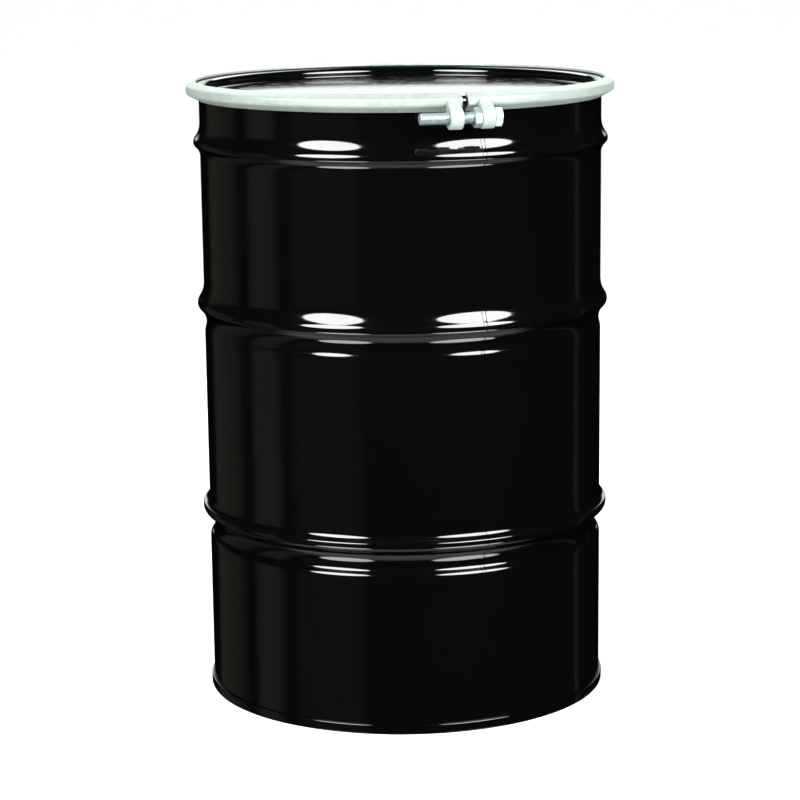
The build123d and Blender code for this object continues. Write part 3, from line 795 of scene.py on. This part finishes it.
def closing_bolt():
    """Threaded shank and hexagon head, joined under the head."""
    mesh = bpy.data.meshes.new("closing_bolt_shank")
    shank = bpy.data.objects.new("closing_bolt_shank", mesh)
    bpy.context.scene.collection.objects.link(shank)
    run_tree(shank, THREAD, Length=BOLT_LENGTH, Radius=BOLT_RADIUS, Threaded=THREAD_LENGTH, Pitch=PITCH,
             Depth=THREAD_DEPTH, Point=POINT, Material=PLATE)
    head_x = BOLT_HIGH.x - HEAD_HEIGHT
    along_bolt(shank, head_x - BOLT_LENGTH)
    settle(shank, "bolt", "zinc_plated_steel", "closing_bolt")
    washer = [Vector((0, 0)), Vector((HEX_FLATS / 2 - WASHER_INSET, 0))]
    outline = washer + hex_rise(HEAD_WASHER, HEAD_HEIGHT, True) + [Vector((0, HEAD_HEIGHT))]
    head = spun("closing_bolt_head", outline, False, PLATE, segments=96, flats=HEX_FLATS)
    settle(along_bolt(head, head_x), "bolt", "zinc_plated_steel")


def lock_nut():
    """The nut between the lugs, a corner up."""
    bore = BOLT_RADIUS + THREAD_CLEARANCE
    high = NUT_HIGH.x - NUT_LOW.x
    outline = [Vector((bore, NUT_LEAD)), Vector((bore + NUT_LEAD, 0))] + hex_rise(0, high, True)
    outline += [Vector((bore + NUT_LEAD, high)), Vector((bore, high - NUT_LEAD))]
    nut = spun("jam_nut", outline, True, PLATE, segments=96, flats=HEX_FLATS)
    settle(along_bolt(nut, NUT_LOW.x, 30), "nut", "zinc_plated_steel", "lock_nut")


def sealant():
    """The bead of compound keeps its CAD shape."""
    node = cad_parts["seam_sealant"]
    node.data.materials.clear()
    node.data.materials.append(COMPOUND)


drum_wall()
drum_bottom()
sealant()
side_seam()
drum_cover()
rubber_gasket()
closing_ring()
lug("lug_threaded", THREADED_LOW.x, THREADED_HIGH.x, BOLT_RADIUS + THREAD_CLEARANCE, "ring_left", "threaded_lug")
lug("lug_plain", PLAIN_LOW.x, PLAIN_HIGH.x, BOLT_RADIUS + PLAIN_CLEARANCE, "ring_right", "plain_lug")
lug_weld("lug_weld_left", THREADED_LOW.x, THREADED_HIGH.x, "ring_left", "threaded_lug_weld")
lug_weld("lug_weld_right", PLAIN_LOW.x, PLAIN_HIGH.x, "ring_right", "plain_lug_weld")
closing_bolt()
lock_nut()


# ---------- studio ----------

TURN = 16.45  # the camera stands this many degrees round from -Y towards -X
FLOOR_HALF = 60
SOFTBOX_DISTANCE = 3


def studio_floor():
    """Pale painted boards, faintly mottled. Shiny surfaces look past it to the cards below."""
    mesh = bpy.data.meshes.new("studio_floor")
    half = FLOOR_HALF
    mesh.from_pydata([(-half, -half, 0), (half, -half, 0), (half, half, 0), (-half, half, 0)], [], [(0, 1, 2, 3)])
    floor = bpy.data.objects.new("studio_floor", mesh)
    bpy.context.scene.collection.objects.link(floor)
    material, tree, shader, place = new_material("pale painted floor", Roughness=0.7)
    mottle = add(tree, "ShaderNodeTexNoise", {"Vector": place, "Scale": per_mm(300), "Detail": 3.0})
    paint = add(tree, "ShaderNodeMix", {"Factor": mottle, "A": linear("#f2f4f3"), "B": linear("#f7f8f7")},
                data_type="RGBA")
    shade(tree, shader, Base_Color=paint)
    mesh.materials.append(material)
    floor.visible_glossy = False


def softbox(name, azimuth, elevation, across, tall, brightness, below=False):
    """A soft oval light 3 m off, its place and size given as angles seen from the drum; azimuth 0 is the camera's
    side. One below the floor stands for its mirror image there and shows in shiny surfaces only."""
    a, e = math.radians(azimuth - TURN), math.radians(elevation)
    distance = SOFTBOX_DISTANCE
    aim = Vector((0, 0, -0.5 if below else 0.5))
    way = Vector((math.sin(a) * math.cos(e), -math.cos(a) * math.cos(e), math.sin(e)))
    data = bpy.data.lights.new(name, "AREA")
    data.shape = "ELLIPSE"
    data.size = 2 * distance * math.tan(math.radians(across / 2))
    data.size_y = 2 * distance * math.tan(math.radians(tall / 2))
    data.energy = brightness * math.pi * math.pi / 4 * data.size * data.size_y
    lamp = bpy.data.objects.new(name, data)
    lamp.location = aim + way * distance
    lamp.rotation_euler = way.to_track_quat("Z", "Y").to_euler()
    lamp.visible_camera = False
    lamp.visible_diffuse = not below
    bpy.context.scene.collection.objects.link(lamp)


def card(tree, azimuth, elevation, across, tall, edge, colour, strength):
    """Light from a card in the distance: its centre and size in degrees, fading over edge at its rim."""
    place = add(tree, "ShaderNodeSeparateXYZ", {0: add(tree, "ShaderNodeTexCoord").outputs["Generated"]})
    known = {"x": place.outputs["X"], "y": place.outputs["Y"], "z": place.outputs["Z"]}
    for label, operation, *terms in (
        ("front", "MULTIPLY", "y", -1.0),
        ("around", "ARCTAN2", "x", "front"),
        ("off", "SUBTRACT", "around", math.radians(azimuth - TURN)),
        ("aside", "PINGPONG", "off", math.pi),
        ("height", "ARCSINE", "z"),
        ("over", "SUBTRACT", "height", math.radians(elevation)),
        ("up", "ABSOLUTE", "over"),
    ):
        known[label] = add(tree, "ShaderNodeMath", {i: known.get(term, term) for i, term in enumerate(terms)},
                           operation=operation)
    shares = [add(tree, "ShaderNodeMapRange", {
        "Value": known[label], "From Min": math.radians((size + edge) / 2), "From Max": math.radians((size - edge) / 2),
    }, interpolation_type="SMOOTHSTEP") for label, size in (("aside", across), ("up", tall))]
    share = add(tree, "ShaderNodeMath", {0: shares[0], 1: shares[1]}, operation="MULTIPLY")
    level = add(tree, "ShaderNodeMath", {0: share, 1: strength}, operation="MULTIPLY")
    return add(tree, "ShaderNodeBackground", {"Color": linear(colour), "Strength": level})


def surroundings():
    """White all round for the floor and matt surfaces; shiny ones see a dark room with its cards."""
    world = bpy.data.worlds.new("studio")
    bpy.context.scene.world = world
    world.use_nodes = True
    tree = world.node_tree
    tree.nodes.clear()
    path = add(tree, "ShaderNodeLightPath")
    soft = add(tree, "ShaderNodeBackground", {"Color": linear("#ffffff"), "Strength": 1.15})
    room = add(tree, "ShaderNodeBackground", {"Color": linear("#050505"), "Strength": 0.6})
    # azimuth, elevation, width, height and soft edge in degrees, then colour and strength
    for setting in (
        (180, 20, 40, 34, 6, "#eaf5ee", 2.2),
        (-45, -20, 40, 36, 8, "#f4f6ff", 0.05),
        (-125, -20, 34, 60, 12, "#fff1dd", 0.07),
        (-86, -20, 20, 60, 10, "#fff1dd", 0.14),
        (119, -20, 5, 60, 3, "#f4f6ff", 0.06),
        (0, -90, 400, 70, 12, "#f4f8f5", 0.8),
    ):
        room = add(tree, "ShaderNodeAddShader", {0: room, 1: card(tree, *setting)})
    mixed = add(tree, "ShaderNodeMixShader", {0: path.outputs["Is Glossy Ray"], 1: soft, 2: room})
    add(tree, "ShaderNodeOutputWorld", {"Surface": mixed})


def camera():
    """Stands well back with a long lens, a little above the drum and turned down to it."""
    data = bpy.data.cameras.new("camera")
    data.lens = 115.62
    data.shift_y = 0.075
    data.clip_end = 200
    made = bpy.data.objects.new("camera", data)
    turn, distance, height = math.radians(TURN), 3.6936, 1.15185
    pitch, yaw, roll = 0.2197, -0.00168, -0.01196
    made.location = (-distance * math.sin(turn), -distance * math.cos(turn), height)
    aim = Matrix.Rotation(-turn - yaw, 3, "Z") @ Matrix.Rotation(math.pi / 2 - pitch, 3, "X")
    made.rotation_euler = (aim @ Matrix.Rotation(roll, 3, "Z")).to_euler()
    bpy.context.scene.collection.objects.link(made)
    bpy.context.scene.camera = made


studio_floor()
surroundings()
softbox("left_softbox", -41, 31, 31, 35, 20)
softbox("right_softbox", 42.5, 31, 39, 35, 20)
softbox("left_mirrored", -41, -36, 31, 22, 8, True)
softbox("right_mirrored", 42.5, -36, 39, 22, 8, True)
softbox("back_left_softbox", -163, 42, 20, 30, 6)
softbox("back_right_softbox", 163, 42, 20, 30, 6)
camera()
bpy.context.scene.view_settings.view_transform = "Standard"
